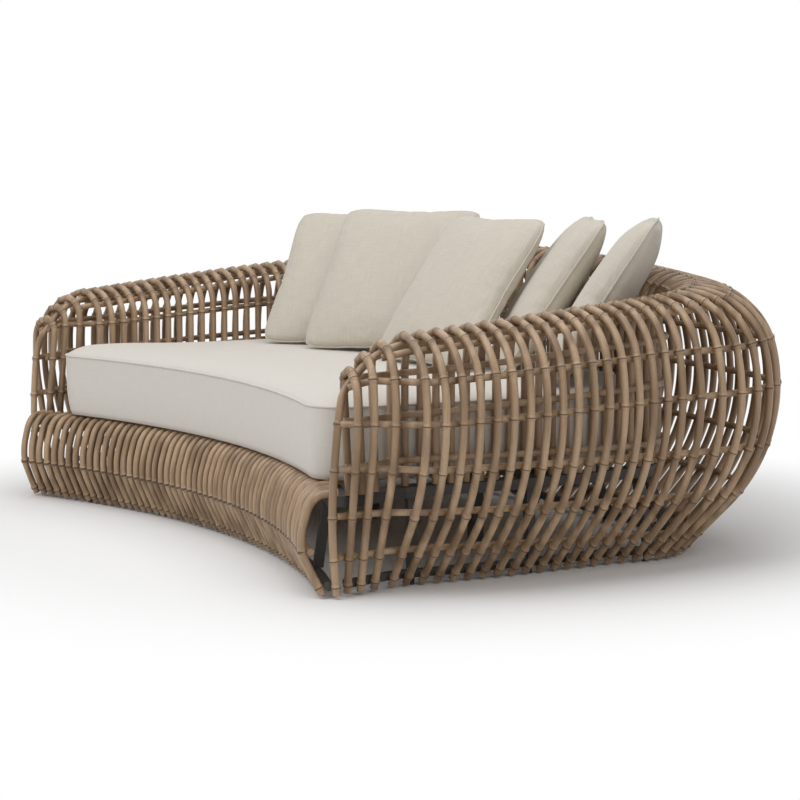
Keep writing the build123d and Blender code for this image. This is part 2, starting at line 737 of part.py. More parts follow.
def pillow():
    """Knife-edged cushion, thin at its seam and full at its middle."""
    full = PILLOW_THICKNESS / 2
    half_sections = []
    for drawn_in, thickness in PILLOW_SECTION_SHARES:
        height = PILLOW_SEAM / 2 + thickness * (full - PILLOW_SEAM / 2)
        half_sections.append((height, pillow_outline(drawn_in)))
    sections = [Pos(0, 0, -height) * outline for height, outline in reversed(half_sections)]
    sections += [Pos(0, 0, height) * outline for height, outline in half_sections]
    return loft(sections, ruled=True)


def pillows():
    """Scatter cushions, stood on the seat and leant back."""
    shape = pillow()
    for name, (x, y, turned, lean) in PILLOWS.items():
        turned, lean = math.radians(turned), math.radians(lean)
        across = Vector(math.cos(turned), math.sin(turned))
        facing = Vector(math.sin(turned), -math.cos(turned))
        up = Vector(0, 0, 1) * math.cos(lean) - facing * math.sin(lean)
        normal = facing * math.cos(lean) + Vector(0, 0, 1) * math.sin(lean)
        base = Vector(x, y, CUSHION_TOP + PILLOW_LIFT)
        plane = Plane(base + up * (PILLOW_SIZE / 2), x_dir=across, z_dir=normal)
        keep("pillow_" + name, [(plane * shape).solid()])


def build():
    """Make every sub-part."""
    ribs_in_groups()
    poles()
    apron_ribs()
    apron_pole()
    seat_rail()
    front_rail()
    floor_rails()
    posts()
    bearer()
    centre_legs()
    glides()
    deck_slats()
    seat_cushion()
    pillows()


def write():
    """Write each sub-part, with the origin on the floor below the middle of the whole."""
    box = Compound([solid for solids in NODES.values() for solid in solids]).bounding_box()
    shift = Pos(0, -(box.min.Y + box.max.Y) / 2, -box.min.Z)
    os.makedirs("parts", exist_ok=True)
    for name, solids in NODES.items():
        export_step(shift * Compound(solids), "parts/" + name + ".step")


if __name__ == "__main__":
    build()
    write()
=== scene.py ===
import bmesh
import bpy
import numpy as np
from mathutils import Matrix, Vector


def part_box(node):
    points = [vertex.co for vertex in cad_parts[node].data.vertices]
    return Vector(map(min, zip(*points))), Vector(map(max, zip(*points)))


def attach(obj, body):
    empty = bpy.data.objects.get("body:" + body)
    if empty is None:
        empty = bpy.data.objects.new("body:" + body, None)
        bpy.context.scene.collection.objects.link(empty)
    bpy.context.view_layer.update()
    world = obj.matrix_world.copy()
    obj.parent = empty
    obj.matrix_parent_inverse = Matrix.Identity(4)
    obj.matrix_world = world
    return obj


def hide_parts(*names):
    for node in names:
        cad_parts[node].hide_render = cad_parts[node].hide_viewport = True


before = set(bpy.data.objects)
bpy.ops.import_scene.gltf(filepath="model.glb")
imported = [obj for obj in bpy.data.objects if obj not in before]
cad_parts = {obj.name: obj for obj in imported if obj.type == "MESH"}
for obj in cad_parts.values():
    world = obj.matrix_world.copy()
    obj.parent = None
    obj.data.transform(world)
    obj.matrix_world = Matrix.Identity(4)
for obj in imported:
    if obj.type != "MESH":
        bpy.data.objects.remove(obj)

bl_info = {
    "name": "Rattan garden sofa",
    "version": (1, 0, 0),
    "blender": (4, 5, 0),
    "location": "3D Viewport > Sidebar > Sofa",
    "description": "Knuckles, cushions, finishes and studio for a curved rattan garden sofa",
    "category": "Object",
}

MM = 0.001

# Plan of the crest line, the line of the rib tops, for the right half
HALF_WIDTH, TIP_HALF_WIDTH, ARM_LENGTH, STRAIGHT_LENGTH = 964.0, 892.0, 700.0, 100.0
CORNER_RADIUS, CORNER_ANGLE = 291.0, np.radians(78.0)
ARM_SPREAD = HALF_WIDTH - TIP_HALF_WIDTH
ARM_RADIUS = (ARM_SPREAD ** 2 + ARM_LENGTH ** 2) / (2 * ARM_SPREAD)
ARM_ANGLE = np.arcsin(ARM_LENGTH / ARM_RADIUS)
CORNER_X, CORNER_Y = HALF_WIDTH - CORNER_RADIUS, ARM_LENGTH + STRAIGHT_LENGTH
BACK_RADIUS = CORNER_X / np.cos(CORNER_ANGLE) + CORNER_RADIUS
BACK_Y = CORNER_Y - CORNER_X * np.tan(CORNER_ANGLE)
ARM_END = ARM_RADIUS * ARM_ANGLE
STRAIGHT_END = ARM_END + STRAIGHT_LENGTH
CORNER_END = STRAIGHT_END + CORNER_RADIUS * CORNER_ANGLE
CREST_LENGTH = CORNER_END + BACK_RADIUS * (np.pi / 2 - CORNER_ANGLE)

# Bent ribs
RIB_RADIUS, RIB_PITCH, TIP_LENGTH = 9.2, 40.5, 171.0
TIP_PITCH_SHARES = (0.86, 1.01, 1.38, 0.99)
TIP_HEIGHT, SHOULDER_HEIGHT, BACK_HEIGHT = 520.0, 597.0, 732.0
BULGE_HEIGHT, SIDE_RADIUS = 425.0, 425.0
INNER_RADIUS, TIP_INNER_RADIUS = 90.0, 38.0
TIP_BULGE, ARM_BULGE, BACK_BULGE = 62.0, 150.0, 206.0
# The bulge grows from the arm's to the back's over this stretch of the crest line
BULGE_START, BULGE_STRETCH = 730.0, 320.0
# The tip rib's inner leg runs outward to its foot at this angle. Outer legs are straight up to
# the first height at the tip and the second further back
TIP_LEAN = np.radians(8.5)
TIP_STRAIGHT, ARM_STRAIGHT = 335.0, 135.0
TIP_RISE_POWER, BACK_RISE_POWER = 2.5, 1.35
# Rows of poles: shares of the tip height and of the back height, eased over ROW_STRETCH
ROW_STRETCH = 1050.0
OUTER_ROWS = ((0.971, 0.751), (0.775, 0.597), (0.569, 0.396), (0.362, 0.232), (0.173, 0.082))
INNER_ROWS = ((0.962, 0.751), (0.775, 0.597), (0.577, 0.396))
TOP_TURNS = (0.0, 26.0, -45.0)
FLOOR_RAIL_HEIGHT = 28.0

# Nose of the arm: shift outward, reach forward and height of its route
NOSE_SHIFT, NOSE_REACH = 15.5, 44.5
NOSE_ROUTE = ((0.50, 0.43, 465.0), (1.00, 0.71, 404.0), (1.00, 0.90, 309.0),
              (0.80, 1.00, 214.0), (0.58, 0.97, 123.0), (0.03, 0.71, 10.0))
NOSE_ROWS = (403.0, 296.0, 188.0, 90.0, 28.0)

# Apron
APRON_RADIUS, APRON_Y, APRON_PITCH, APRON_RIBS = 2090.0, -2012.0, 31.0, 57
APRON_DEPTHS = (49.0, 25.8, 2.6, 2.6, 20.0)
APRON_HEIGHTS = (10.0, 56.0, 110.0, 158.0, 214.0)
APRON_ROWS = (110.0, 26.0)

# Seat cushion
CUSHION_BASE, CUSHION_SEAM = 253.5, 425.0
CUSHION_SIDE = -INNER_RADIUS - RIB_RADIUS - 2.5
CUSHION_FRONT, CUSHION_FRONT_RADIUS, CUSHION_CORNER = 102.0, 2317.0, 85.0
# The crown rounds off within CROWN_EDGE of the seam. It is FRONT_CROWN times as high where the
# plan's Y is below CROWN_FRONT, and eases to its plain height over CROWN_STRETCH behind that
CROWN_EDGE, CROWN_POWER, FRONT_CROWN, CROWN_FRONT, CROWN_STRETCH = 100.0, 2.6, 2.0, 100.0, 420.0
WAVE_HEIGHT, WAVE_EDGE = 1.5, 120.0
# How far the bottom edge of the side band is drawn in, and how sharply
BAND_DRAW, BAND_POWER = 13.0, 4

# Scatter cushions: across, back, turned and leaning, and how many quarters each is turned over
PILLOW_BASE = 441.2
PILLOWS = {
    "far_left": (-451.0, 715.5, 34.3, 36.1, 0),
    "left": (-209.0, 703.5, 26.7, 32.3, 1),
    "centre": (186.0, 618.0, -2.0, 34.5, 2),
    "right": (335.0, 780.5, -31.6, 33.7, 3),
    "far_right": (625.0, 760.0, -39.9, 32.4, 1),
}

# Sides drawn in at their middle, corners blunted, and how full the cushion is before filling
SIDE_HOLLOW, CORNER_BLUNTING, FULLNESS_POWER = 5.0, 0.13, 0.33
# The air adds about 10 mm to each face, so the cloth starts thinner than it ends
FILLING_GAIN = 20.0

# The centre legs stand this far back in plan, which gives the shift from plan to frame
LEGS_BACK = 590.0
LEG_LOW, LEG_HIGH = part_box("centre_legs")
PLAN_SHIFT = LEGS_BACK - (LEG_LOW[1] + LEG_HIGH[1]) / 2 / MM


def blend(low, high, share):
    return low + (high - low) * share


def smooth(share):
    """Share eased at both ends: 3 s^2 - 2 s^3."""
    share = np.clip(share, 0, 1)
    return share * share * (3 - 2 * share)


def to_frame(points):
    """Plan millimetres to frame metres."""
    return (np.asarray(points, float) - (0, PLAN_SHIFT, 0)) * MM


def unit(vectors):
    return vectors / np.linalg.norm(vectors, axis=-1, keepdims=True)


def length_along(path):
    """Length from the first point of a path to each of its points."""
    return np.concatenate([[0], np.cumsum(np.linalg.norm(np.diff(path, axis=0), axis=1))])


def crest_place(d, outward=0.0):
    """X, Y and outward heading at length d of the crest line, moved outward.

    Each stretch is centre + (radius + outward) * (cos heading, sin heading)."""
    d = np.asarray(d, float)
    spots = [d <= ARM_END, d <= STRAIGHT_END, d <= CORNER_END]
    zero = 0 * d
    heading = np.select(spots, [d / ARM_RADIUS - ARM_ANGLE, zero, (d - STRAIGHT_END) / CORNER_RADIUS],
                        CORNER_ANGLE + (d - CORNER_END) / BACK_RADIUS)
    x = np.select(spots, [HALF_WIDTH - ARM_RADIUS + zero, HALF_WIDTH + zero, CORNER_X + zero], zero)
    y = np.select(spots, [ARM_LENGTH + zero, ARM_LENGTH + d - ARM_END, CORNER_Y + zero], BACK_Y + zero)
    radius = np.select(spots, [ARM_RADIUS + zero, zero, CORNER_RADIUS + zero], BACK_RADIUS + zero)
    reach = radius + outward
    return x + reach * np.cos(heading), y + reach * np.sin(heading), heading


def rib_stations():
    """Lengths along the crest line at which the ribs of one half stand."""
    start = np.cumsum([0.0] + [share * RIB_PITCH for share in TIP_PITCH_SHARES])
    steps = round((CREST_LENGTH - start[-1]) / RIB_PITCH - 0.5)
    pitch = (CREST_LENGTH - start[-1]) / (steps + 0.5)
    return np.concatenate([start, start[-1] + pitch * np.arange(1, steps + 1)])


class RibShape:
    """Outlines of all ribs of one half, as arrays: u outward from the crest line, z up."""

    def __init__(self, d):
        tip = smooth(d / TIP_LENGTH)
        near = blend(TIP_HEIGHT, SHOULDER_HEIGHT, 1 - (1 - np.clip(d / TIP_LENGTH, 0, 1)) ** TIP_RISE_POWER)
        far = np.clip((d - TIP_LENGTH) / (CREST_LENGTH - TIP_LENGTH), 0, 1)
        self.d = d
        back = blend(SHOULDER_HEIGHT, BACK_HEIGHT, 1 - (1 - far) ** BACK_RISE_POWER)
        self.top = np.where(d < TIP_LENGTH, near, back)
        arm = blend(TIP_BULGE, ARM_BULGE, tip)
        self.bulge = blend(arm, BACK_BULGE, smooth((d - BULGE_START) / BULGE_STRETCH))
        self.inner = blend(TIP_INNER_RADIUS, INNER_RADIUS, tip)
        self.lean = blend(TIP_LEAN, 0.0, tip)
        self.straight = blend(TIP_STRAIGHT, ARM_STRAIGHT, tip)
        rise, side = self.top - BULGE_HEIGHT, SIDE_RADIUS - self.bulge
        self.outer = (SIDE_RADIUS ** 2 - side ** 2 - rise ** 2) / (2 * SIDE_RADIUS - 2 * rise)
        self.outer_z = self.top - self.outer
        self.join = np.arctan2(self.outer_z - BULGE_HEIGHT, side)
        self.fall = np.arcsin((BULGE_HEIGHT - self.straight) / SIDE_RADIUS)

    def row(self, shares):
        """Height of a row of poles: shares of the tip height, eased to shares of the back height."""
        return blend(shares[0] * TIP_HEIGHT, shares[1] * BACK_HEIGHT, smooth(self.d / ROW_STRETCH))

    def outside(self, z):
        """Outer leg at height z: top arc, side arc and straight foot, with the angle of its normal."""
        top = np.arcsin(np.clip((z - self.outer_z) / self.outer, -1, 1))
        side = np.arcsin(np.clip((z - BULGE_HEIGHT) / SIDE_RADIUS, -1, 1))
        foot = self.bulge - SIDE_RADIUS + SIDE_RADIUS * np.cos(self.fall)
        foot = foot - (self.straight - z) * np.tan(self.fall)
        on_top = z > self.outer_z + self.outer * np.sin(self.join)
        on_side = z > self.straight
        arcs = [self.outer * np.cos(top), self.bulge - SIDE_RADIUS + SIDE_RADIUS * np.cos(side)]
        u = np.select([on_top, on_side], arcs, foot)
        return u, z, np.select([on_top, on_side], [top, side], -self.fall + 0 * z)

    def inside(self, z):
        """Inner leg at height z: quarter bend above a straight leg."""
        centre = self.top - self.inner
        start = centre - self.inner * np.sin(self.lean)
        angle = np.pi - np.arcsin(np.clip((z - centre) / self.inner, -1, 1))
        leg = -self.inner * np.cos(self.lean) + (start - z) * np.tan(self.lean)
        return (np.where(z > start, self.inner * np.cos(angle), leg), z,
                np.where(z > start, angle, np.pi + self.lean + 0 * z))

    def over(self, turn, along):
        """Top bend at a turn from upright, moved along it: bend * (cos a, sin a)."""
        bend = self.outer if turn >= 0 else self.inner
        angle = np.pi / 2 - np.radians(turn) - along / bend
        return bend * np.cos(angle), self.top - bend + bend * np.sin(angle), angle


# How far each ring of a knuckle lies from its middle, as a share of its half length, and how
# far it stands out as a share of its swelling: from below the rib's skin, up to a low ridge on
# each side of the thin groove at its middle
KNUCKLE_PROFILE = np.array(((-1.0, -0.35), (-0.7, 0.25), (-0.3, 0.75), (-0.1, 1.0), (0.0, 0.45),
                            (0.1, 1.0), (0.3, 0.75), (0.7, 0.25), (1.0, -0.35)))
KNUCKLE_SIDES = 10


def grid_faces(rows, columns, wrap_rows=False, wrap_columns=False):
    """Quads between neighbouring points of a grid, closed on itself where it wraps."""
    i, j = np.meshgrid(np.arange(rows if wrap_rows else rows - 1),
                       np.arange(columns if wrap_columns else columns - 1), indexing="ij")
    i, j = i.ravel(), j.ravel()
    below, beside = (i + 1) % rows, (j + 1) % columns
    return np.stack([i * columns + j, i * columns + beside,
                     below * columns + beside, below * columns + j], -1)


def add_piece(name, points, faces, material, cloth=None, merge=0.0):
    """A mesh at the origin from frame points and faces, with a UV map in metres where cloth is given."""
    mesh = bpy.data.meshes.new(name)
    mesh.from_pydata(np.asarray(points).tolist(), [], faces)
    if cloth is not None:
        layer = mesh.uv_layers.new(name="cloth")
        corners = np.empty(len(mesh.loops), dtype=np.int32)
        mesh.loops.foreach_get("vertex_index", corners)
        layer.data.foreach_set("uv", np.asarray(cloth, float)[corners].ravel())
    shell = bmesh.new()
    shell.from_mesh(mesh)
    if merge:
        bmesh.ops.remove_doubles(shell, verts=shell.verts, dist=merge)
    bmesh.ops.recalc_face_normals(shell, faces=shell.faces)
    shell.to_mesh(mesh)
    shell.free()
    mesh.shade_smooth()
    mesh.materials.append(material)
    piece = bpy.data.objects.new(name, mesh)
    bpy.context.scene.collection.objects.link(piece)
    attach(piece, "root")
    return piece


def knuckles(centres, outward, beside, radius, swelling):
    """Barrels round the ribs: centre + r * (cos a * outward + sin a * beside), r over the profile."""
    angle = np.linspace(0, 2 * np.pi, KNUCKLE_SIDES, endpoint=False)
    reach = radius + swelling * KNUCKLE_PROFILE[:, 1]
    around = np.cos(angle)[:, None] * outward[:, :, None] + np.sin(angle)[:, None] * beside[:, :, None]
    points = centres[:, :, None] + reach[None, :, None, None] * around
    count, rings = centres.shape[:2]
    one = grid_faces(rings, KNUCKLE_SIDES, wrap_columns=True)
    ends = np.stack([np.arange(KNUCKLE_SIDES), np.arange(KNUCKLE_SIDES) + (rings - 1) * KNUCKLE_SIDES])
    step = np.arange(count)[:, None, None] * rings * KNUCKLE_SIDES
    faces = (one[None] + step).reshape(-1, 4).tolist()
    faces += (ends[None] + step).reshape(-1, KNUCKLE_SIDES).tolist()
    # The map runs once round the knuckle and from 0 to 1 along it
    turn, along = np.broadcast_arrays(angle[None, :] / (2 * np.pi), (KNUCKLE_PROFILE[:, :1] + 1) / 2)
    cloth = np.broadcast_to(np.stack([turn, along], -1), (count, rings, KNUCKLE_SIDES, 2))
    return points.reshape(-1, 3), faces, cloth.reshape(-1, 2)


def rib_knuckles(half_length):
    """Centres, outward and sideways directions of every knuckle on the ribs of one half."""
    shape = RibShape(rib_stations()[:, None])
    along = half_length * KNUCKLE_PROFILE[None, :, 0]
    spots = []
    for shares in OUTER_ROWS:
        middle = shape.row(shares)
        spots.append(shape.outside(middle + along * np.cos(shape.outside(middle)[2])))
    spots.append(shape.outside(FLOOR_RAIL_HEIGHT + along * np.cos(shape.fall)))
    for shares in INNER_ROWS:
        middle = shape.row(shares)
        spots.append(shape.inside(middle - along * np.cos(shape.inside(middle)[2])))
    for turn in TOP_TURNS:
        spots.append(shape.over(turn, along))
    parts = []
    for u, z, angle in spots:
        x, y, heading = crest_place(shape.d + 0 * u, u)
        zero = 0 * z
        parts.append((np.stack([x, y, z + zero], -1),
                      np.stack([np.cos(angle) * np.cos(heading), np.cos(angle) * np.sin(heading),
                                np.sin(angle) + zero], -1),
                      np.stack([-np.sin(heading), np.cos(heading), zero], -1)))
    return [np.concatenate(group) for group in zip(*parts)]


def route_knuckles(route, rows, half_length, outward):
    """Knuckles on a route of points from low to high: points between them by height."""
    z = np.asarray(rows)[:, None] + half_length * KNUCKLE_PROFILE[None, :, 0]
    centres = np.stack([np.interp(z, route[:, 2], route[:, axis]) for axis in range(3)], -1)
    ahead = unit(np.gradient(centres, axis=1))
    beside = unit(np.cross(ahead, outward))
    return centres, np.cross(beside, ahead), beside


def nose_route():
    """Centre line of the nose, from its foot up: origin + outward * shift + forward * reach."""
    x, y, heading = crest_place(0.0)
    route = np.array(NOSE_ROUTE)[::-1]
    outward = np.array([np.cos(heading), np.sin(heading)])
    forward = np.array([np.sin(heading), -np.cos(heading)])
    plan = np.array([x, y]) + route[:, :1] * NOSE_SHIFT * outward + route[:, 1:2] * NOSE_REACH * forward
    return np.column_stack([plan, route[:, 2]]), np.array([*forward, 0.0])


def cushion_outline():
    """Closed plan outline of the seat cushion and the place of its four corners along it.

    Right half: hollow front arc, round corner, then the crest line moved inward. The left half
    mirrors it."""
    middle = np.array([0.0, CUSHION_FRONT - CUSHION_FRONT_RADIUS])
    d = np.linspace(-150.0, 400.0, 5501)
    x, y, heading = crest_place(d, CUSHION_SIDE - CUSHION_CORNER)
    miss = np.abs(np.hypot(x - middle[0], y - middle[1]) - CUSHION_FRONT_RADIUS - CUSHION_CORNER)
    best = int(np.argmin(miss))
    centre, side_heading = np.array([x[best], y[best]]), heading[best]
    to_front = middle - centre
    front_heading = np.arctan2(to_front[1], to_front[0])
    turn = np.linspace(front_heading, side_heading, 17)[1:]
    corner = centre + CUSHION_CORNER * np.stack([np.cos(turn), np.sin(turn)], -1)
    end = np.arctan2(centre[0] - middle[0], centre[1] - middle[1])
    arc = np.linspace(0, end, 80)
    front = middle + CUSHION_FRONT_RADIUS * np.stack([np.sin(arc), np.cos(arc)], -1)
    sx, sy, _ = crest_place(np.linspace(d[best], CREST_LENGTH, 400)[1:], CUSHION_SIDE)
    right = np.concatenate([front, corner, np.stack([sx, sy], -1)])
    left = (right * (-1, 1))[::-1][1:-1]
    outline = np.concatenate([right, left])
    lengths = length_along(outline)
    total = lengths[-1] + np.linalg.norm(outline[0] - outline[-1])
    front_corner = lengths[len(front) + len(corner) // 2]
    back_d = (STRAIGHT_END + CORNER_END) / 2
    bx, by, _ = crest_place(back_d, CUSHION_SIDE)
    from_back = np.linalg.norm(outline[:len(right)] - (bx, by), axis=1)
    back_corner = lengths[int(np.argmin(from_back))]
    return outline, lengths, total, front_corner, back_corner


def outline_at(outline, lengths, total, where):
    """Points of the closed outline at lengths along it."""
    where = np.mod(where, total)
    closed = np.concatenate([outline, outline[:1]])
    marks = np.append(lengths, total)
    return np.stack([np.interp(where, marks, closed[:, axis]) for axis in (0, 1)], -1)


def coons(front, back, left, right):
    """Patch between four sides: ruled across plus ruled along, less the bilinear patch of the corners."""
    v = np.linspace(0, 1, len(left))[:, None, None]
    u = np.linspace(0, 1, len(front))[None, :, None]
    ruled = (1 - v) * front[None] + v * back[None] + (1 - u) * left[:, None] + u * right[:, None]
    return ruled - ((1 - u) * (1 - v) * front[0] + u * (1 - v) * front[-1]
                    + (1 - u) * v * back[0] + u * v * back[-1])


def from_outline(points, outline):
    """Distance of points from a closed outline with straight sides.

    It is the least |p - a - t (b - a)| over the sides from a to b, with t held to 0 to 1."""
    side = np.roll(outline, -1, 0) - outline
    away = points[:, None] - outline
    share = np.clip((away * side).sum(-1) / (side ** 2).sum(-1), 0, 1)
    return np.linalg.norm(away - share[..., None] * side, axis=-1).min(axis=1)


def edge_loop(rows, columns):
    """Numbers of the edge points of a grid, once round."""
    grid = np.arange(rows * columns).reshape(rows, columns)
    return np.concatenate([grid[0, :-1], grid[:-1, -1], grid[-1, :0:-1], grid[:0:-1, 0]])


def cushion_shape(crown, rows=61, columns=141, rings=13):
    """Closed cushion: crowned patch on top, side band, flat patch below, and its seam line.

    Crown height is crown * k * (1 - (1 - e / CROWN_EDGE)^CROWN_POWER) at distance e from the seam,
    where k eases from FRONT_CROWN at the front to 1 at the back, with slow waves that fade within
    WAVE_EDGE of the seam. The band is drawn in by BAND_DRAW * (1 - s)^BAND_POWER at share s of
    its height."""
    outline, lengths, total, front_corner, back_corner = cushion_outline()
    across = np.linspace(-front_corner, front_corner, columns)
    front = outline_at(outline, lengths, total, across)
    right = outline_at(outline, lengths, total, np.linspace(front_corner, back_corner, rows))
    left = right * (-1, 1)
    back = outline_at(outline, lengths, total, np.linspace(total - back_corner, back_corner, columns))
    patch = coons(front, back, left, right)
    flat = patch.reshape(-1, 2)
    loop = edge_loop(rows, columns)
    gap = from_outline(flat, outline[::3])
    gap[loop] = 0
    rise = 1 - (1 - np.clip(gap / CROWN_EDGE, 0, 1)) ** CROWN_POWER
    front_share = smooth((CROWN_FRONT + CROWN_STRETCH - flat[:, 1]) / CROWN_STRETCH)
    rise = rise * blend(1.0, FRONT_CROWN, front_share)
    waves = np.sin(flat[:, 0] / 118.0 + 1.3 * np.sin(flat[:, 1] / 140.0))
    waves = WAVE_HEIGHT * waves * np.sin(flat[:, 1] / 95.0 + 0.6) * np.clip(gap / WAVE_EDGE, 0, 1)
    top = np.column_stack([flat, CUSHION_SEAM + crown * rise + waves])
    edge = flat[loop]
    ahead = unit(np.roll(edge, -1, 0) - np.roll(edge, 1, 0))
    out = np.stack([ahead[:, 1], -ahead[:, 0]], -1)
    share = np.linspace(1, 0, rings)[:, None, None]
    ring = edge[None] - out[None] * BAND_DRAW * (1 - share) ** BAND_POWER
    low = np.concatenate([ring[-1], ring[-1][:1]])
    right_end, back_end, left_end = columns - 1, columns + rows - 2, 2 * columns + rows - 3
    below = coons(low[:columns], low[back_end:left_end + 1][::-1], low[left_end:][::-1],
                  low[right_end:back_end + 1]).reshape(-1, 2)
    bottom = np.column_stack([below, np.full(len(below), CUSHION_BASE)])
    height = np.broadcast_to(blend(CUSHION_BASE, CUSHION_SEAM, share), (rings, len(edge), 1))
    band = np.concatenate([ring, height], -1).reshape(-1, 3)
    round_length = length_along(edge)
    band_cloth = np.stack(np.broadcast_arrays(round_length[None], height[..., 0]), -1).reshape(-1, 2)
    patch_faces = grid_faces(rows, columns)
    faces = np.concatenate([patch_faces, patch_faces[:, ::-1] + len(flat),
                            grid_faces(rings, len(edge), wrap_columns=True) + 2 * len(flat)])
    points = np.concatenate([top, bottom, band])
    cloth = np.concatenate([flat, flat, band_cloth]) * MM
    return points, faces.tolist(), cloth, np.column_stack([edge, np.full(len(edge), CUSHION_SEAM)])


def round_cord(path, up, radius, sides=8):
    """Closed cord: path + radius * (cos a * side + sin a * over), square to the path."""
    ahead = unit(np.roll(path, -1, 0) - np.roll(path, 1, 0))
    side = unit(np.cross(ahead, up))
    over = np.cross(side, ahead)
    angle = np.linspace(0, 2 * np.pi, sides, endpoint=False)
    around = np.cos(angle)[:, None] * side[:, None] + np.sin(angle)[:, None] * over[:, None]
    points = path[:, None] + radius * around
    along, turn = np.broadcast_arrays(length_along(path)[:, None], angle[None] * radius)
    cloth = np.stack([along, turn], -1).reshape(-1, 2)
    return points.reshape(-1, 3), grid_faces(len(path), sides, True, True).tolist(), cloth


def pillow_shape(size, thickness, count=81):
    """Two square sheets that meet at a seam with slightly hollow sides and blunt corners.

    x = a * (half - SIDE_HOLLOW * (1 - b^2)) * sqrt(1 - CORNER_BLUNTING * b^8), y likewise, and
    z = half thickness * ((1 - a^2)(1 - b^2))^FULLNESS_POWER."""
    a, b = np.meshgrid(np.linspace(-1, 1, count), np.linspace(-1, 1, count), indexing="ij")
    half = size / 2
    x = a * (half - SIDE_HOLLOW * (1 - b * b)) * np.sqrt(1 - CORNER_BLUNTING * b ** 8)
    y = b * (half - SIDE_HOLLOW * (1 - a * a)) * np.sqrt(1 - CORNER_BLUNTING * a ** 8)
    z = thickness / 2 * ((1 - a * a) * (1 - b * b)).clip(0) ** FULLNESS_POWER
    front = np.stack([x, y, z], -1).reshape(-1, 3)
    back = front * (1, 1, -1)
    loop = edge_loop(count, count)
    number = np.arange(count * count)
    own = np.setdiff1d(np.arange(count * count), loop)
    number[own] = count * count + np.arange(len(own))
    faces = grid_faces(count, count)
    points = np.concatenate([front, back[own]])
    return points, np.concatenate([faces[:, ::-1], number[faces]]).tolist(), loop


def inflate(points, faces, pressure, most=12.0):
    """Points blown up as cloth: 20 frames of air pressure on the sheets, without weight.

    The whole movement is scaled down evenly where its 98th percentile is more than most mm, which
    keeps the creases in proportion, and no point then moves more than 1.3 * most."""
    mesh = bpy.data.meshes.new("pillow_cloth")
    mesh.from_pydata((points * MM).tolist(), [], faces)
    test = bpy.data.objects.new("pillow_cloth", mesh)
    scene = bpy.context.scene
    scene.collection.objects.link(test)
    cloth = test.modifiers.new("air", "CLOTH")
    cloth.settings.quality = 5
    cloth.settings.mass = 0.3
    cloth.settings.tension_stiffness = cloth.settings.compression_stiffness = 12.0
    cloth.settings.shear_stiffness = 4.0
    cloth.settings.bending_stiffness = 0.3
    cloth.settings.use_pressure = True
    cloth.settings.uniform_pressure_force = pressure
    cloth.settings.effector_weights.gravity = 0.0
    cloth.collision_settings.use_collision = False
    cloth.collision_settings.use_self_collision = False
    cloth.point_cache.frame_start, cloth.point_cache.frame_end = 1, 20
    for number in range(1, 21):
        scene.frame_set(number)
    blown = test.evaluated_get(bpy.context.evaluated_depsgraph_get()).to_mesh()
    found = np.empty(len(points) * 3)
    blown.vertices.foreach_get("co", found)
    bpy.data.objects.remove(test)
    scene.frame_set(1)
    if not np.isfinite(found).all():
        raise RuntimeError("the cloth of the scatter cushions flew apart")
    move = found.reshape(-1, 3) / MM - points
    far = np.linalg.norm(move, axis=1, keepdims=True)
    move, far = (value * min(1, most / np.percentile(far, 98)) for value in (move, far))
    return points + move * np.minimum(1, 1.3 * most / np.maximum(far, 1e-6))


def linear(text):
    """sRGB hex colour to linear: ((c + 0.055) / 1.055)^2.4, or c / 12.92 for dark parts."""
    parts = [int(text[i:i + 2], 16) / 255 for i in (1, 3, 5)]
    return (*(c / 12.92 if c <= 0.04045 else ((c + 0.055) / 1.055) ** 2.4 for c in parts), 1.0)


def add_node(tree, kind, settings=(), inputs=()):
    """A node with its settings, and its inputs linked where a socket is given and set otherwise."""
    node = tree.nodes.new(kind)
    for name, value in dict(settings).items():
        setattr(node, name, value)
    for name, value in dict(inputs).items():
        if isinstance(value, bpy.types.NodeSocket):
            tree.links.new(value, node.inputs[name])
        else:
            node.inputs[name].default_value = value
    return node


def new_material(name):
    """An empty material with one Principled shader, and its node tree."""
    material = bpy.data.materials.get(name) or bpy.data.materials.new(name)
    material.use_nodes = True
    tree = material.node_tree
    tree.nodes.clear()
    shader = add_node(tree, "ShaderNodeBsdfPrincipled")
    add_node(tree, "ShaderNodeOutputMaterial", inputs={"Surface": shader.outputs["BSDF"]})
    return material, tree, shader


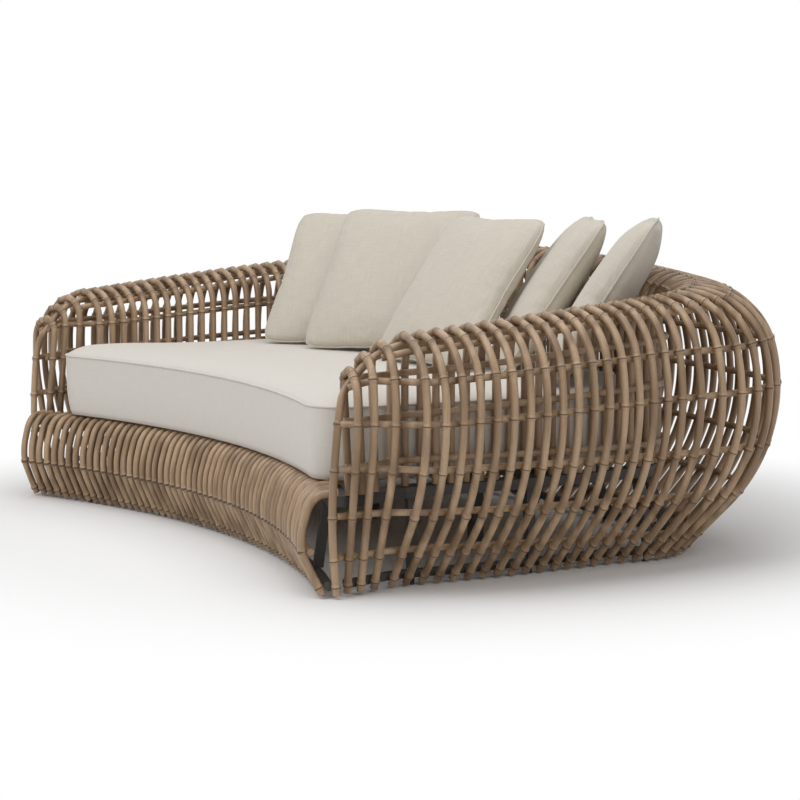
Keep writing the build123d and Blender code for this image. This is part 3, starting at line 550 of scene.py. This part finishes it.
def rattan(name, light, dark, gap=None):
    """Lacquered rattan cane, steamed and bent: each cane has its own tone, with fine fibres
    along it. The eye sees a satin brown pole with a soft highlight down its length."""
    material, tree, shader = new_material(name)
    where = add_node(tree, "ShaderNodeTexCoord").outputs["Object"]
    # Canes are 41 mm apart, so the tone changes over 34 mm across and 450 mm along them
    cane = add_node(tree, "ShaderNodeMapping", inputs={"Vector": where, "Scale": (29.0, 29.0, 2.2)})
    tone = add_node(tree, "ShaderNodeTexNoise", inputs={
        "Vector": cane.outputs[0], "Scale": 1.0, "Detail": 1.0})
    spread = add_node(tree, "ShaderNodeMapRange", inputs={
        "Value": tone.outputs[0], "From Min": 0.36, "From Max": 0.64})
    # Cane fibres are 0.3 mm apart and drawn 2 mm apart, so that they show
    fibre = add_node(tree, "ShaderNodeMapping", inputs={"Vector": where, "Scale": (500.0, 500.0, 14.0)})
    streak = add_node(tree, "ShaderNodeTexNoise", inputs={
        "Vector": fibre.outputs[0], "Scale": 1.0, "Detail": 2.0})
    colour = add_node(tree, "ShaderNodeMix", {"data_type": "RGBA"},
                      {0: spread.outputs[0], 6: dark, 7: light})
    faint = add_node(tree, "ShaderNodeMapRange", inputs={
        "Value": streak.outputs[0], "From Min": 0.45, "From Max": 0.8, "To Max": 0.45})
    colour = add_node(tree, "ShaderNodeMix", {"data_type": "RGBA"},
                      {0: faint.outputs[0], 6: colour.outputs[2], 7: linear("#6B5238")})
    if gap:
        # The knuckle's own map runs 0 to 1 along its 19 mm: the line is dark over 1.7 mm and gone at 3.4
        own = add_node(tree, "ShaderNodeUVMap").outputs[0]
        around = add_node(tree, "ShaderNodeSeparateXYZ", inputs={0: own})
        off = add_node(tree, "ShaderNodeMath", {"operation": "SUBTRACT"}, {0: around.outputs[1], 1: 0.5})
        away = add_node(tree, "ShaderNodeMath", {"operation": "ABSOLUTE"}, {0: off.outputs[0]})
        line = add_node(tree, "ShaderNodeMapRange", inputs={
            "Value": away.outputs[0], "From Min": 0.045, "From Max": 0.090, "To Min": 0.9, "To Max": 0.0})
        colour = add_node(tree, "ShaderNodeMix", {"data_type": "RGBA"},
                          {0: line.outputs[0], 6: colour.outputs[2], 7: gap})
    tree.links.new(colour.outputs[2], shader.inputs["Base Color"])
    bump = add_node(tree, "ShaderNodeBump", inputs={
        "Height": streak.outputs[0], "Strength": 0.25, "Distance": 0.0004})
    tree.links.new(bump.outputs[0], shader.inputs["Normal"])
    shader.inputs["Roughness"].default_value = 0.42
    shader.inputs["Coat Weight"].default_value = 0.15
    shader.inputs["Coat Roughness"].default_value = 0.3
    return material


def woven(name, colour, thread, contrast):
    """Plain-woven outdoor cloth: crossing threads with slubs. The eye sees a matt, slightly
    mottled cloth. The threads are drawn coarser than real ones, so that they show."""
    material, tree, shader = new_material(name)
    where = add_node(tree, "ShaderNodeUVMap").outputs[0]
    tones = []
    # A thread keeps its tone over 22 times its width, which gives the slubs
    across, lengthwise = 1 / thread, 1 / (thread * 22)
    for scale in ((across, lengthwise, 1.0), (lengthwise, across, 1.0)):
        along = add_node(tree, "ShaderNodeMapping", inputs={"Vector": where, "Scale": scale})
        tones.append(add_node(tree, "ShaderNodeTexNoise",
                              inputs={"Vector": along.outputs[0], "Scale": 1.0, "Detail": 1.0}).outputs[0])
    both = add_node(tree, "ShaderNodeMath", {"operation": "ADD"}, {0: tones[0], 1: tones[1]})
    share = add_node(tree, "ShaderNodeMapRange", inputs={
        "Value": both.outputs[0], "From Min": 0.7, "From Max": 1.3, "To Max": contrast})
    shade = add_node(tree, "ShaderNodeMix", {"data_type": "RGBA"},
                     {0: share.outputs[0], 6: colour, 7: linear("#988A76")})
    tree.links.new(shade.outputs[2], shader.inputs["Base Color"])
    bump = add_node(tree, "ShaderNodeBump", inputs={
        "Height": both.outputs[0], "Strength": 0.3, "Distance": 0.0005})
    tree.links.new(bump.outputs[0], shader.inputs["Normal"])
    shader.inputs["Roughness"].default_value = 0.9
    shader.inputs["Sheen Weight"].default_value = 0.15
    return material


def plain(name, colour, roughness, metallic=0.0):
    """A finish without a pattern that shows at this distance."""
    material, tree, shader = new_material(name)
    shader.inputs["Base Color"].default_value = linear(colour)
    shader.inputs["Roughness"].default_value = roughness
    shader.inputs["Metallic"].default_value = metallic
    return material


def slat_wood():
    """Sawn beech slats: growth rings 4 mm apart, drawn along each slat, give pale brown stripes."""
    material, tree, shader = new_material("sawn beech")
    where = add_node(tree, "ShaderNodeTexCoord").outputs["Object"]
    along = add_node(tree, "ShaderNodeMapping", inputs={"Vector": where, "Scale": (250.0, 6.0, 120.0)})
    ring = add_node(tree, "ShaderNodeTexNoise", inputs={
        "Vector": along.outputs[0], "Scale": 1.0, "Detail": 2.0})
    stripe = add_node(tree, "ShaderNodeMix", {"data_type": "RGBA"},
                      {0: ring.outputs[0], 6: linear("#C9A77E"), 7: linear("#A98458")})
    tree.links.new(stripe.outputs[2], shader.inputs["Base Color"])
    shader.inputs["Roughness"].default_value = 0.6
    return material


def seen_directly(tree):
    """1 for rays that reach the eye, straight or by mirroring, and 0 for the light on the sofa."""
    rays = add_node(tree, "ShaderNodeLightPath")
    seen = rays.outputs["Is Camera Ray"]
    for kind in ("Is Glossy Ray", "Is Transmission Ray"):
        either = add_node(tree, "ShaderNodeMath", {"operation": "MAXIMUM"}, {0: seen, 1: rays.outputs[kind]})
        seen = either.outputs[0]
    return seen


class SofaFinish(bpy.types.PropertyGroup):
    rattan_light: bpy.props.FloatVectorProperty(
        name="Light cane", description="Colour of the palest canes", subtype="COLOR", size=3,
        default=linear("#B79A7B")[:3], min=0, max=1)
    rattan_dark: bpy.props.FloatVectorProperty(
        name="Dark cane", description="Colour of the darkest canes", subtype="COLOR", size=3,
        default=linear("#876C50")[:3], min=0, max=1)
    knuckle_line: bpy.props.FloatVectorProperty(
        name="Knuckle line", description="Colour of the thin line round the middle of a knuckle",
        subtype="COLOR", size=3, default=linear("#4A3826")[:3], min=0, max=1)
    seat_cloth: bpy.props.FloatVectorProperty(
        name="Seat cloth", description="Colour of the seat cushion", subtype="COLOR", size=3,
        default=linear("#DCD7CF")[:3], min=0, max=1)
    pillow_cloth: bpy.props.FloatVectorProperty(
        name="Scatter cushion cloth", description="Colour of the scatter cushions", subtype="COLOR", size=3,
        default=linear("#D3CCBF")[:3], min=0, max=1)


class SofaSizes(bpy.types.PropertyGroup):
    knuckle_length: bpy.props.FloatProperty(
        name="Knuckle half length", description="From the middle of a knuckle to its end", subtype="DISTANCE",
        unit="LENGTH", default=0.0095, min=0.004, max=0.02)
    knuckle_swelling: bpy.props.FloatProperty(
        name="Knuckle swelling", description="How far a knuckle stands out from its rib", subtype="DISTANCE",
        unit="LENGTH", default=0.0026, min=0.0003, max=0.004)
    seat_crown: bpy.props.FloatProperty(
        name="Seat crown", description="Rise of the seat's back above its seam; the front rises more",
        subtype="DISTANCE", unit="LENGTH", default=0.014, min=0, max=0.03)
    pillow_size: bpy.props.FloatProperty(
        name="Scatter cushion size", description="Side of a scatter cushion", subtype="DISTANCE",
        unit="LENGTH", default=0.480, min=0.3, max=0.6)
    pillow_thickness: bpy.props.FloatProperty(
        name="Scatter cushion thickness", description="Thickness of a scatter cushion at its middle",
        subtype="DISTANCE", unit="LENGTH", default=0.120, min=0.05, max=0.2)
    piping: bpy.props.FloatProperty(
        name="Piping radius", description="Radius of the piped seams", subtype="DISTANCE", unit="LENGTH",
        default=0.0028, min=0.001, max=0.006)
    air: bpy.props.FloatProperty(
        name="Filling pressure", description="Air pressure that fills the scatter cushions", default=4.0,
        min=0, max=10)


def rattan_pair(scene):
    """The cane finish and the knuckle finish."""
    look = scene.sofa_finish
    light, dark = (*look.rattan_light, 1.0), (*look.rattan_dark, 1.0)
    return (rattan("lacquered rattan cane", light, dark),
            rattan("rattan cane knuckle", light, dark, (*look.knuckle_line, 1.0)))


class SOFA_OT_frame_finishes(bpy.types.Operator):
    """Give every piece of the fixed frame its finish"""
    bl_idname = "sofa.frame_finishes"
    bl_label = "Frame finishes"

    def execute(self, context):
        cane = rattan_pair(context.scene)[0]
        # Powder-coated aluminium: a matt dark grey skin, without a metal's own shine
        metal = plain("powder-coated aluminium", "#4A4744", 0.55)
        # Moulded polypropylene glides: black with a dull shine
        glide = plain("moulded polypropylene", "#1F1F20", 0.5)
        wood = slat_wood()
        for name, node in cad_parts.items():
            if name.endswith(("_ribs", "_pole")):
                finish = cane
            elif name == "deck_slats":
                finish = wood
            elif name == "floor_glides":
                finish = glide
            else:
                finish = metal
            for place in node.material_slots:
                place.material = finish
        return {"FINISHED"}


class SOFA_OT_rib_knuckles(bpy.types.Operator):
    """Add the knuckles of the cane where the bent ribs of both halves cross their poles"""
    bl_idname = "sofa.rib_knuckles"
    bl_label = "Rib knuckles"

    def execute(self, context):
        sizes = context.scene.sofa_sizes
        finish = rattan_pair(context.scene)[1]
        centres, outward, beside = rib_knuckles(sizes.knuckle_length / MM)
        for name, way in (("right", 1), ("left", -1)):
            mirror = np.array([way, 1, 1])
            points, faces, cloth = knuckles(centres * mirror, outward * mirror, beside * mirror, RIB_RADIUS,
                                            sizes.knuckle_swelling / MM)
            add_piece(name + "_rib_knuckles", to_frame(points), faces, finish, cloth)
        return {"FINISHED"}


class SOFA_OT_front_knuckles(bpy.types.Operator):
    """Add the knuckles on the noses of the arms and on the apron"""
    bl_idname = "sofa.front_knuckles"
    bl_label = "Front knuckles"

    def execute(self, context):
        sizes = context.scene.sofa_sizes
        finish = rattan_pair(context.scene)[1]
        half = sizes.knuckle_length / MM
        route, forward = nose_route()
        groups = []
        for way in (1, -1):
            mirror = np.array([way, 1, 1])
            groups.append(route_knuckles(route * mirror, NOSE_ROWS, half, forward * mirror))
        centres, outward, beside = [np.concatenate(group) for group in zip(*groups)]
        points, faces, cloth = knuckles(centres, outward, beside, RIB_RADIUS, sizes.knuckle_swelling / MM)
        add_piece("nose_knuckles", to_frame(points), faces, finish, cloth)

        turns = (np.arange(APRON_RIBS) - (APRON_RIBS - 1) / 2) * APRON_PITCH / APRON_RADIUS
        z = np.asarray(APRON_ROWS)[:, None] + half * KNUCKLE_PROFILE[None, :, 0]
        depth = APRON_RADIUS + np.interp(z, APRON_HEIGHTS, APRON_DEPTHS)
        side, ahead = np.sin(turns)[:, None, None], np.cos(turns)[:, None, None]
        centres = np.stack([side * depth, APRON_Y + ahead * depth, z + 0 * side], -1)
        centres = centres.reshape(-1, len(KNUCKLE_PROFILE), 3)
        along = unit(np.gradient(centres, axis=1))
        across = np.stack([ahead, -side, 0 * side], -1) + 0 * depth[..., None]
        across = across.reshape(-1, len(KNUCKLE_PROFILE), 3)
        points, faces, cloth = knuckles(centres, unit(np.cross(along, across)), across, RIB_RADIUS,
                                        sizes.knuckle_swelling / MM)
        add_piece("apron_knuckles", to_frame(points), faces, finish, cloth)
        return {"FINISHED"}


class SOFA_OT_seat_cushion(bpy.types.Operator):
    """Make the one deep seat cushion with its piped top seam"""
    bl_idname = "sofa.seat_cushion"
    bl_label = "Seat cushion"

    def execute(self, context):
        sizes, look = context.scene.sofa_sizes, context.scene.sofa_finish
        finish = woven("woven olefin seat cloth", (*look.seat_cloth, 1.0), 0.0022, 0.10)
        points, faces, cloth, seam = cushion_shape(sizes.seat_crown / MM)
        cushion = add_piece("seat_cushion_cover", to_frame(points), faces, finish, cloth,
                            merge=0.0002)
        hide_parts("seat_cushion")
        up = np.array([0.0, 0.0, 1.0])
        points, faces, cloth = round_cord(to_frame(seam), up, sizes.piping)
        add_piece("seat_piping", points, faces, finish, cloth)
        return {"FINISHED"}


class SOFA_OT_scatter_cushions(bpy.types.Operator):
    """Fill one scatter cushion as cloth and stand five of it on the seat"""
    bl_idname = "sofa.scatter_cushions"
    bl_label = "Scatter cushions"

    def execute(self, context):
        sizes, look = context.scene.sofa_sizes, context.scene.sofa_finish
        finish = woven("woven linen-look cloth", (*look.pillow_cloth, 1.0), 0.0026, 0.22)
        size, thickness = sizes.pillow_size / MM, sizes.pillow_thickness / MM
        points, faces, loop = pillow_shape(size, thickness - FILLING_GAIN)
        points = inflate(points, faces, sizes.air)
        for name, (x, y, turned, lean, quarters) in PILLOWS.items():
            turned, lean, spin = np.radians(turned), np.radians(lean), np.pi / 2 * quarters
            facing = np.array([np.sin(turned), -np.cos(turned), 0])
            across = np.array([np.cos(turned), np.sin(turned), 0])
            up = np.array([0, 0, np.cos(lean)]) - facing * np.sin(lean)
            normal = facing * np.cos(lean) + np.array([0, 0, np.sin(lean)])
            u = points[:, 0] * np.cos(spin) - points[:, 1] * np.sin(spin)
            v = points[:, 0] * np.sin(spin) + points[:, 1] * np.cos(spin)
            middle = np.array([x, y, PILLOW_BASE]) + up * size / 2
            placed = middle + np.outer(u, across) + np.outer(v, up) + np.outer(points[:, 2], normal)
            cover = add_piece("pillow_cover_" + name, to_frame(placed), faces, finish,
                              np.column_stack([u, v]) * MM)
            smoothing = cover.modifiers.new("smooth cloth", "SUBSURF")
            smoothing.levels = smoothing.render_levels = 1
            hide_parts("pillow_" + name)
            cord, cord_faces, cord_cloth = round_cord(to_frame(placed[loop]), normal, sizes.piping)
            add_piece("pillow_piping_" + name, cord, cord_faces, finish, cord_cloth)
        return {"FINISHED"}


class SOFA_OT_studio(bpy.types.Operator):
    """Set up the pale floor, the soft lamps, the white surroundings and the camera"""
    bl_idname = "sofa.studio"
    bl_label = "Studio"

    def execute(self, context):
        scene = context.scene
        mesh = bpy.data.meshes.new("studio_floor")
        mesh.from_pydata([(-14, -14, 0), (14, -14, 0), (14, 14, 0), (-14, 14, 0)], [], [(0, 1, 2, 3)])
        floor = bpy.data.objects.new("studio_floor", mesh)
        scene.collection.objects.link(floor)
        material, tree, shader = new_material("matt white paper")
        # Matt white paper near the sofa, which keeps its shadow; it fades into the white beyond
        shader.inputs["Base Color"].default_value = linear("#F8F8F8")
        shader.inputs["Roughness"].default_value = 1.0
        shader.inputs["Specular IOR Level"].default_value = 0.0
        where = add_node(tree, "ShaderNodeTexCoord").outputs["Object"]
        away = add_node(tree, "ShaderNodeVectorMath", {"operation": "LENGTH"}, {0: where})
        fade = add_node(tree, "ShaderNodeMapRange", {"interpolation_type": "SMOOTHSTEP"},
                        {"Value": away.outputs["Value"], "From Min": 1.0, "From Max": 1.8})
        share = add_node(tree, "ShaderNodeMath", {"operation": "MULTIPLY"},
                         {0: fade.outputs[0], 1: seen_directly(tree)})
        white = add_node(tree, "ShaderNodeEmission", inputs={"Color": (1, 1, 1, 1), "Strength": 1.0})
        both = add_node(tree, "ShaderNodeMixShader", inputs={
            0: share.outputs[0], 1: shader.outputs[0], 2: white.outputs[0]})
        tree.links.new(both.outputs[0], tree.nodes["Material Output"].inputs["Surface"])
        mesh.materials.append(material)

        world = bpy.data.worlds.new("white surroundings")
        world.use_nodes = True
        scene.world = world
        tree = world.node_tree
        tree.nodes.clear()
        soft = add_node(tree, "ShaderNodeBackground", inputs={"Color": (1, 1, 1, 1), "Strength": 0.3})
        white = add_node(tree, "ShaderNodeBackground", inputs={"Color": (1, 1, 1, 1), "Strength": 1.0})
        both = add_node(tree, "ShaderNodeMixShader", inputs={
            0: seen_directly(tree), 1: soft.outputs[0], 2: white.outputs[0]})
        add_node(tree, "ShaderNodeOutputWorld", inputs={"Surface": both.outputs[0]})

        for name, place, turn, side, power in (
                ("overhead", (0.0, 0.0, 4.4), (0, 0, 0), 5.0, 96.0),
                ("key", (0.6, -3.2, 3.4), (42, 0, 8), 2.6, 58.0),
                ("fill", (3.8, -0.6, 2.2), (60, 0, 82), 2.4, 22.0)):
            lamp = bpy.data.lights.new(name + "_lamp", "AREA")
            lamp.shape, lamp.size, lamp.energy = "SQUARE", side, power
            holder = bpy.data.objects.new(name + "_lamp", lamp)
            holder.location, holder.rotation_euler = place, np.radians(turn)
            scene.collection.objects.link(holder)

        lens = bpy.data.cameras.new("studio_camera")
        lens.lens, lens.sensor_width = 94.5, 36.0
        camera = bpy.data.objects.new("studio_camera", lens)
        camera.location = (4.9551, -2.9910, 0.9990)
        camera.rotation_euler = np.radians((83.387, 0.0, 58.488))
        scene.collection.objects.link(camera)
        scene.camera = camera
        scene.view_settings.view_transform = "Standard"
        return {"FINISHED"}


class SOFA_PT_panel(bpy.types.Panel):
    bl_label = "Garden sofa"
    bl_idname = "SOFA_PT_panel"
    bl_space_type = "VIEW_3D"
    bl_region_type = "UI"
    bl_category = "Sofa"

    def draw(self, context):
        for group in (context.scene.sofa_sizes, context.scene.sofa_finish):
            for name in group.__annotations__:
                self.layout.prop(group, name)
        for step in STEPS:
            self.layout.operator(step.bl_idname)


STEPS = (SOFA_OT_frame_finishes, SOFA_OT_rib_knuckles, SOFA_OT_front_knuckles, SOFA_OT_seat_cushion,
         SOFA_OT_scatter_cushions, SOFA_OT_studio)
CLASSES = (SofaFinish, SofaSizes, *STEPS, SOFA_PT_panel)


def register():
    for kind in CLASSES:
        bpy.utils.register_class(kind)
    bpy.types.Scene.sofa_finish = bpy.props.PointerProperty(type=SofaFinish)
    bpy.types.Scene.sofa_sizes = bpy.props.PointerProperty(type=SofaSizes)


def unregister():
    del bpy.types.Scene.sofa_finish, bpy.types.Scene.sofa_sizes
    for kind in reversed(CLASSES):
        bpy.utils.unregister_class(kind)


def main():
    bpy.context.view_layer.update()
    register()
    bpy.ops.sofa.frame_finishes()
    bpy.ops.sofa.rib_knuckles()
    bpy.ops.sofa.front_knuckles()
    bpy.ops.sofa.seat_cushion()
    bpy.ops.sofa.scatter_cushions()
    bpy.ops.sofa.studio()


if __name__ == "__main__":
    main()
